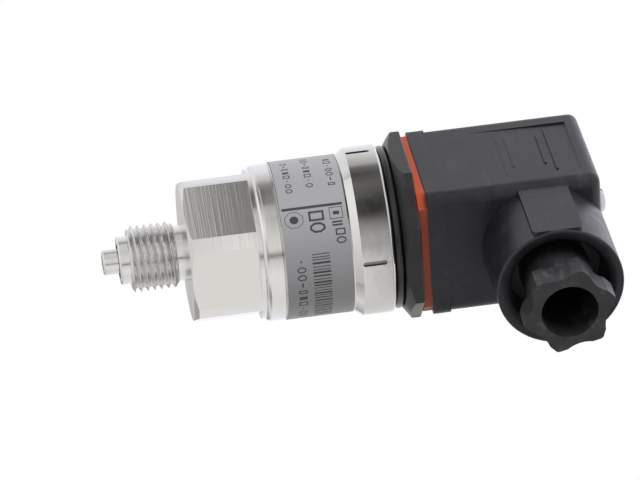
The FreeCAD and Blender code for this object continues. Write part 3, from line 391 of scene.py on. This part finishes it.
def sealing_glass():
    # fused compression glass, dark green and slightly clear
    return speckled("sealing_glass", "#5d7a70", 0.12, 0.3, 0.001, Transmission_Weight=0.3)


def gilt_pins():
    # nickel-iron pins with a thin gold plating
    return speckled("gilt_pins", "#d9b45e", 0.25, 0.1, 0.001, Metallic=1.0)


def carrier_plastic():
    # natural PBT, moulded: ivory, satin
    return speckled("carrier_plastic", "#e0ddd2", 0.45, 0.2, 0.002)


def board_laminate():
    # glass-epoxy board under green solder mask
    return speckled("board_laminate", "#1f5a35", 0.3, 0.5, 0.001)


def component_plastic():
    # epoxy moulding compound of chips and capacitor sleeves
    return speckled("component_plastic", "#262628", 0.5, 0.1, 0.002)


def wire_insulation():
    # red PVC insulation, extruded
    return speckled("wire_insulation", "#a32822", 0.35, 0.4, 0.001)


def black_rubber():
    # NBR ring, moulded: black with a damp-looking gloss
    return speckled("black_rubber", "#121213", 0.22, 0.25, 0.002)


def red_silicone():
    # silicone gasket, brick red to orange, dull
    return speckled("red_silicone", "#85300f", 0.5, 0.15, 0.003)


def moulded(name, colour, pale, roughness, worn, sheen="#ffffff"):
    """Glass-filled black plastic: fine eroded grain, soft blotches, and pale scuffs as far as it is worn.

    Sheen is the colour of what it mirrors."""
    material, tree, shader = finish(name, colour, roughness, IOR=1.48, Specular_Tint=linear(sheen))
    place = add(tree, "ShaderNodeTexCoord").outputs["Object"]
    grain = add(tree, "ShaderNodeTexNoise", {
        "Vector": place, "Scale": 1 / (0.12 * MM), "Detail": 3.0}).outputs["Fac"]
    cloud = add(tree, "ShaderNodeTexNoise", {
        "Vector": place, "Scale": 1 / (4.5 * MM), "Detail": 5.0, "Roughness": 0.65}).outputs["Fac"]
    scratch = add(tree, "ShaderNodeMapping", {
        "Vector": place, "Rotation": SCRATCH_TURN, "Scale": SCRATCH_WAVES}).outputs[0]
    streak = add(tree, "ShaderNodeTexNoise", {
        "Vector": scratch, "Scale": 1.0, "Detail": 3.0}).outputs["Fac"]
    rubbed = add(tree, "ShaderNodeMath", {0: cloud, 1: streak}, operation="MULTIPLY").outputs[0]
    scuffed = add(tree, "ShaderNodeMapRange", {
        "Value": rubbed, "From Min": 0.28, "From Max": 0.42, "To Min": 0.0, "To Max": worn}).outputs[0]
    blotch = add(tree, "ShaderNodeMapRange", {
        "Value": cloud, "From Min": 0.35, "From Max": 0.68, "To Min": 0.0, "To Max": 0.05}).outputs[0]
    share = add(tree, "ShaderNodeMath", {0: scuffed, 1: blotch}, operation="ADD").outputs[0]
    tone = add(tree, "ShaderNodeMix", {"Factor": share, 6: linear(colour), 7: linear(pale)}, data_type="RGBA")
    tree.links.new(tone.outputs[2], shader.inputs["Base Color"])
    rough = add(tree, "ShaderNodeMapRange", {
        "Value": cloud, "From Min": 0.35, "From Max": 0.65,
        "To Min": roughness - 0.06, "To Max": roughness + 0.05})
    tree.links.new(rough.outputs[0], shader.inputs["Roughness"])
    coarse = add(tree, "ShaderNodeBump", {"Height": cloud, "Distance": 0.05 * MM, "Strength": 1.0})
    fine = add(tree, "ShaderNodeBump", {"Height": grain, "Distance": 0.007 * MM, "Strength": 1.0,
                                        "Normal": coarse.outputs[0]})
    tree.links.new(fine.outputs[0], shader.inputs["Normal"])
    return material


def base_polyamide():
    # glass-filled PA6 of the octagonal base: black, a little brown, smoother than the plug
    return moulded("base_polyamide", "#171516", "#4a4644", 0.36, 0.08)


def plug_polyamide():
    # glass-filled PA6 of the plug: black with a blue cast, eroded grain, light scuffs from handling
    return moulded("plug_polyamide", "#131316", "#5c5c64", 0.4, 0.06, "#f6f6ff")


def handled_polyamide():
    # the same plastic where fingers and tools turn it: greyer, with pale rubbed edges
    return moulded("handled_polyamide", "#1e1e20", "#707074", 0.44, 0.16, "#fafaff")


def block_polyamide():
    # plain PA6 of the contact block
    return speckled("block_polyamide", "#3a3a3d", 0.45, 0.15, 0.004)


def tinned_brass():
    # stamped brass with bright tin
    return speckled("tinned_brass", "#c9c8c2", 0.3, 0.3, 0.002, Metallic=1.0)


def brass_turned():
    # turned brass insert
    return tool_lines(*finish("brass_turned", "#c9a45a", 0.28, Metallic=1.0), 3.0, 9.0, 0.003, 0.05)


def zinc_steel():
    # cold-headed steel with clear bright zinc
    return speckled("zinc_steel", "#c3c4c6", 0.27, 0.25, 0.002, Metallic=1.0)


# the finishes that the record names, by the name of their slot
SLOTS = (
    stainless_turned, stainless_drawn, stainless_sensor, label_foil, sealing_glass, gilt_pins,
    carrier_plastic, board_laminate, component_plastic, wire_insulation, black_rubber, red_silicone,
    base_polyamide, plug_polyamide, block_polyamide, tinned_brass, brass_turned, zinc_steel,
)
finishes = {make.__name__: make() for make in SLOTS}
for part in frame["record"]["subparts"]:
    solid = nodes[part["node"]]
    solid.data.materials.clear()
    solid.data.materials.append(finishes[part["material_slot"]])
nodes["gland_nut"].data.materials[0] = handled_polyamide()


# ---------------------------------------------------------------- pieces worked out as surfaces

SHARP_EDGE = 30.0            # degrees between faces, from which an edge isn't smoothed


def make_piece(name, points, faces, material, body):
    """A piece from an array of points and an array of faces, smooth but for its sharp edges."""
    mesh = bpy.data.meshes.new(name)
    mesh.from_pydata(points, [], faces)
    mesh.polygons.foreach_set("use_smooth", np.ones(len(mesh.polygons), dtype=bool))
    mesh.set_sharp_from_angle(angle=math.radians(SHARP_EDGE))
    mesh.materials.append(material)
    piece = bpy.data.objects.new(name, mesh)
    bpy.context.scene.collection.objects.link(piece)
    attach(piece, body)
    return piece


def corners_of(name):
    """A node's points as an array."""
    mesh = nodes[name].data
    points = np.empty(len(mesh.vertices) * 3)
    mesh.vertices.foreach_get("co", points)
    return points.reshape(-1, 3)


THREAD_PITCH = 25.4 / 19 * MM    # G 1/4: 19 threads per inch
THREAD_DEPTH = 0.856 * MM
THREAD_ROUNDNESS = 0.965         # k in the thread's formula: 1 would be a sharp V
THREAD_STEP = 0.05 * MM          # height from one row of points to the next
THREAD_CREST = 6.5785 * MM       # radius over the crests
THREAD_START = -8.6 * MM
THREAD_BEVEL = 0.9 * MM          # how far under the crests the thread starts
BEVEL_SLOPE = 0.6                # height over radius of the cones at the thread's two ends
RELIEF_RADIUS = 5.45 * MM
SHOULDER = 2.5 * MM              # height of the bar's face behind the thread
NOSE_OVERLAP = 1.0 * MM          # how far the nose reaches into the bar
SPIGOT_RADIUS, SPIGOT_END = 4.75 * MM, -10.7 * MM
PIN_RADIUS, INLET_RADIUS = 2.5 * MM, 1.5 * MM
NOSE_BEVEL = 0.35 * MM           # on the ends of pin and spigot
NOSE_COLUMNS = 180


def make_port_nose():
    """Nose of the port, a closed surface of revolution with the thread on it.

    Where the thread runs, the radius is the mean radius plus half the depth times
    asin(k cos(turns)) / asin(k), with turns = height / pitch - angle / full turn, and never
    more than the cone at either end. Elsewhere the radius depends on the path alone."""
    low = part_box("pressure_port")[0][2]
    relief_foot = (THREAD_CREST - RELIEF_RADIUS) * BEVEL_SLOPE
    before = [(INLET_RADIUS, low), (PIN_RADIUS - NOSE_BEVEL, low), (PIN_RADIUS, low + NOSE_BEVEL),
              (PIN_RADIUS, SPIGOT_END), (SPIGOT_RADIUS - NOSE_BEVEL, SPIGOT_END),
              (SPIGOT_RADIUS, SPIGOT_END + NOSE_BEVEL), (SPIGOT_RADIUS, THREAD_START)]
    after = [(RELIEF_RADIUS, relief_foot), (RELIEF_RADIUS, SHOULDER + NOSE_OVERLAP),
             (INLET_RADIUS, SHOULDER + NOSE_OVERLAP)]
    heights = np.arange(THREAD_START, relief_foot, THREAD_STEP)
    angle = np.linspace(0, 2 * np.pi, NOSE_COLUMNS, endpoint=False)
    turns = heights[:, None] / THREAD_PITCH - angle[None, :] / (2 * np.pi)
    wave = np.arcsin(THREAD_ROUNDNESS * np.cos(2 * np.pi * turns)) / math.asin(THREAD_ROUNDNESS)
    radius = THREAD_CREST - THREAD_DEPTH / 2 + THREAD_DEPTH / 2 * wave
    start_cone = THREAD_CREST - THREAD_BEVEL + (heights - THREAD_START) / BEVEL_SLOPE
    end_cone = RELIEF_RADIUS + (relief_foot - heights) / BEVEL_SLOPE
    radius = np.minimum(radius, np.minimum(start_cone, end_cone)[:, None])

    def plain(path):
        r, z = np.array(path).T
        return np.repeat(r[:, None], NOSE_COLUMNS, 1), np.repeat(z[:, None], NOSE_COLUMNS, 1)

    rows = [plain(before), (radius, np.repeat(heights[:, None], NOSE_COLUMNS, 1)), plain(after)]
    r, z = (np.concatenate([row[k] for row in rows]) for k in (0, 1))
    points = np.stack([r * np.cos(angle), r * np.sin(angle), z], -1)
    faces = quads(len(r), NOSE_COLUMNS)
    nose = make_piece("port_nose", points.reshape(-1, 3), faces, finishes["stainless_turned"],
                      "transmitter")
    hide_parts("pressure_port")


def copy_of(name, move, new_name):
    """A merged copy of a node, with the node's own normals, its points moved by a function."""
    solid = nodes[name]
    mesh, points = solid.data, corners_of(name)
    normals = np.empty(len(mesh.loops) * 3)
    mesh.corner_normals.foreach_get("vector", normals)
    corners = np.empty(len(mesh.loops), dtype=int)
    mesh.loops.foreach_get("vertex_index", corners)
    _, first, same = np.unique(np.round(points / MM, 4), axis=0, return_index=True, return_inverse=True)
    triangles = same.reshape(-1)[corners].reshape(-1, 3)
    whole = (triangles != np.roll(triangles, 1, axis=1)).all(1)
    made = bpy.data.meshes.new(new_name)
    made.from_pydata(move(points[first]), [], triangles[whole])
    made.normals_split_custom_set(normals.reshape(-1, 3, 3)[whole].reshape(-1, 3))
    made.materials.append(solid.data.materials[0])
    piece = bpy.data.objects.new(new_name, made)
    bpy.context.scene.collection.objects.link(piece)
    return piece


HEX_APOTHEM = 13.5 * MM
FLAT_TOLERANCE = 0.01            # mm off the flat's plane, and lean of its normal
TUCK_BELOW = 2.4 * MM            # the solid's own nose ends just under the shoulder
TUCK_LOWEST = -13.5 * MM         # just inside the threaded nose's tip
TUCK_INLET = 1.6 * MM            # what lies inside this radius is the inlet's wall
TUCK_INLET_FACTOR = 1.07
TUCK_NOSE_FACTOR = 0.8


def make_port_body():
    """The port behind its nose: the solid with its own nose drawn in under the threaded one.

    Below the shoulder each point's distance from the axis is multiplied, outwards for the inlet's
    wall and inwards for the rest, and a point lower than the lowest place is raised to it. A face
    is a milled flat where its plane stands upright, one apothem from the axis."""
    def tuck(points):
        radius, height = np.hypot(points[:, 0], points[:, 1]), points[:, 2]
        nose = height < TUCK_BELOW
        factor = np.where(radius < TUCK_INLET, TUCK_INLET_FACTOR, TUCK_NOSE_FACTOR)
        factor = np.where(nose, factor, 1.0)
        lifted = np.where(nose, np.maximum(height, TUCK_LOWEST), height)
        return np.stack([points[:, 0] * factor, points[:, 1] * factor, lifted], -1)

    piece = copy_of("pressure_port", tuck, "port_body")
    mesh = piece.data
    mesh.materials.append(stainless_milled())
    count = len(mesh.polygons)
    normals, centres = np.empty(count * 3), np.empty(count * 3)
    mesh.polygons.foreach_get("normal", normals)
    mesh.polygons.foreach_get("center", centres)
    normals, centres = normals.reshape(-1, 3), centres.reshape(-1, 3)
    reach = (normals * centres).sum(1)
    milled = (abs(reach - HEX_APOTHEM) < FLAT_TOLERANCE * MM) & (abs(normals[:, 2]) < FLAT_TOLERANCE)
    mesh.polygons.foreach_set("material_index", milled.astype(int))
    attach(piece, "transmitter")
    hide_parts("pressure_port")


# The print's places are angles in degrees from +X towards +Y, and mm up the foil from its foot.
INK_LIFT = 0.012 * MM
EDGE_PARTS = 6               # pieces that each side of a printed frame is split into, to follow the curve
# painted shade: over this span of angles the foil's long edges get a dark ink line
SHADED_FROM, SHADED_TO = 143, 232   # where the foil's long edges show as a dark line
SHADED_STEP = 6.0            # degrees that one short length of that line takes
SHADED_HALF = 0.045          # mm, half the line's width
BAR_FROM = 252.3             # where the ladder of bars starts
BAR_MIDDLE, BAR_HALF = 6.95, 1.75   # mm up the foil, and half the bars' length
BAR_WIDTHS = (
    0.17, 0.17, 0.17, 0.4, 0.17, 0.17, 0.4, 0.3, 0.17, 0.4, 0.3, 0.17, 0.17, 0.4, 0.17, 0.3, 0.4,
    0.17, 0.17, 0.4, 0.3, 0.17, 0.3, 0.17, 0.4, 0.17, 0.17)
BAR_GAPS = (0.42, 0.32, 0.42, 0.52)
# a field: half width, half height, sides and stroke in mm at size 1
FIELDS = (
    (0.5, 0.68, 4, 0.2), (0.34, 0.68, 4, 0.2), (0.5, 0.68, 6, 0.2), (0.15, 0.15, 12, 0.15),
    (0.34, 0.64, 4, 0.34), (0.4, 0.13, 4, 0.13), (0.5, 0.68, 8, 0.2))
FIELD_STEP = 5.0             # degrees from one field to the next at size 1
# a line of fields: first and last angle in degrees, height on the foil in mm, size
FIELD_LINES = ((170, 206, 2.6, 0.95), (165, 205, 6.7, 1.0), (171, 203, 11.0, 1.0), (257, 315, 3.0, 1.25))
# single marks, as print_marks gives them: a rule, and plain figures where marks of approval would stand
RULE = (218.1, 6.4, 0.27, 5.9, 4, 0.27)
FIGURES = (
    (226.5, 2.6, 1.6, 1.8, 8, 0.12), (226.5, 2.6, 0.75, 0.85, 8, 0.75),
    (225.2, 7.0, 1.0, 1.5, 4, 0.4), (233.7, 7.0, 1.0, 1.5, 8, 0.4),
    (224.6, 10.9, 1.2, 1.3, 4, 0.13), (224.6, 10.9, 0.35, 0.6, 4, 0.35),
    (231.2, 10.9, 0.17, 1.0, 4, 0.17), (233.4, 10.9, 0.17, 1.0, 4, 0.17),
    (238.4, 11.3, 0.65, 0.95, 4, 0.26), (244.4, 11.3, 0.65, 0.95, 8, 0.26))


def print_marks(degrees_per_mm, foil_width):
    """All marks on the label: each is its angle in degrees, its height on the foil, half its width,
    half its height, the number of its sides and its stroke, in mm."""
    marks = [RULE]
    # a ladder of plain bars of uneven width
    at = BAR_FROM
    for index, width in enumerate(BAR_WIDTHS):
        at += width / 2 * degrees_per_mm
        marks.append((at, BAR_MIDDLE, width / 2, BAR_HALF, 4, width / 2))
        at += (width / 2 + BAR_GAPS[index % len(BAR_GAPS)]) * degrees_per_mm
    # lines of small fields where words would stand: open and solid frames, dashes and dots
    for first, last, height, size in FIELD_LINES:
        for step, at in enumerate(np.arange(first, last, FIELD_STEP * size)):
            around, along, sides, stroke = FIELDS[(step * 3 + int(height)) % len(FIELDS)]
            marks.append((at, height, around * size, along * size, sides, stroke * size ** 0.5))
    # painted shade: a dark ink line on the foil's edges on the side away from the light, in pieces short
    # enough to follow it
    half_step = SHADED_STEP / 2 / degrees_per_mm
    for at in np.arange(SHADED_FROM, SHADED_TO, SHADED_STEP):
        for edge in (SHADED_HALF, foil_width - SHADED_HALF):
            marks.append((at, edge, half_step, SHADED_HALF, 4, SHADED_HALF))
    return marks + list(FIGURES)


def make_print():
    """Print on the label, with a line of painted shade along its edges: frames with straight or many sides,
    on its outer cylinder unrolled.

    A frame's outer corners lie at its half width around and half height along, and its inner ones
    lie a stroke further in; a solid mark has a stroke as wide as itself. Each is rolled on the
    cylinder at the radius plus the ink's thickness."""
    low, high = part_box("type_label")
    radius, foot = high[1] + INK_LIFT, low[2]
    marks = print_marks(math.degrees(MM / radius), (high[2] - low[2]) / MM)
    points, faces = [], []
    for at, height, around, along, sides, stroke in marks:
        corner = (np.arange(sides) + 0.5) * 2 * np.pi / sides
        corner = np.stack([np.cos(corner), np.sin(corner)], -1) / math.cos(np.pi / sides)
        share = (np.arange(EDGE_PARTS) / EDGE_PARTS)[:, None]
        following = np.roll(corner, -1, axis=0)
        loop = (corner[:, None] * (1 - share) + following[:, None] * share).reshape(-1, 2)
        sizes = np.array([[around, along], [max(around - stroke, 0.001), max(along - stroke, 0.001)]])
        flat = (loop[None] * sizes[:, None]).reshape(-1, 2)
        turn = math.radians(at) + flat[:, 0] * MM / radius
        level = foot + (height + flat[:, 1]) * MM
        faces.append(quads(2, len(loop), close_rows=False) + sum(len(part) for part in points))
        points.append(np.stack([radius * np.cos(turn), radius * np.sin(turn), level], -1))
    make_piece("label_print_and_painted_shade", np.concatenate(points), np.concatenate(faces), label_ink_and_painted_shade(),
               "transmitter")


make_port_nose()
make_port_body()
make_print()

make_camera()
make_world()
make_tent()
make_floor()
make_key_lamp()
bpy.context.scene.view_settings.view_transform = "Standard"
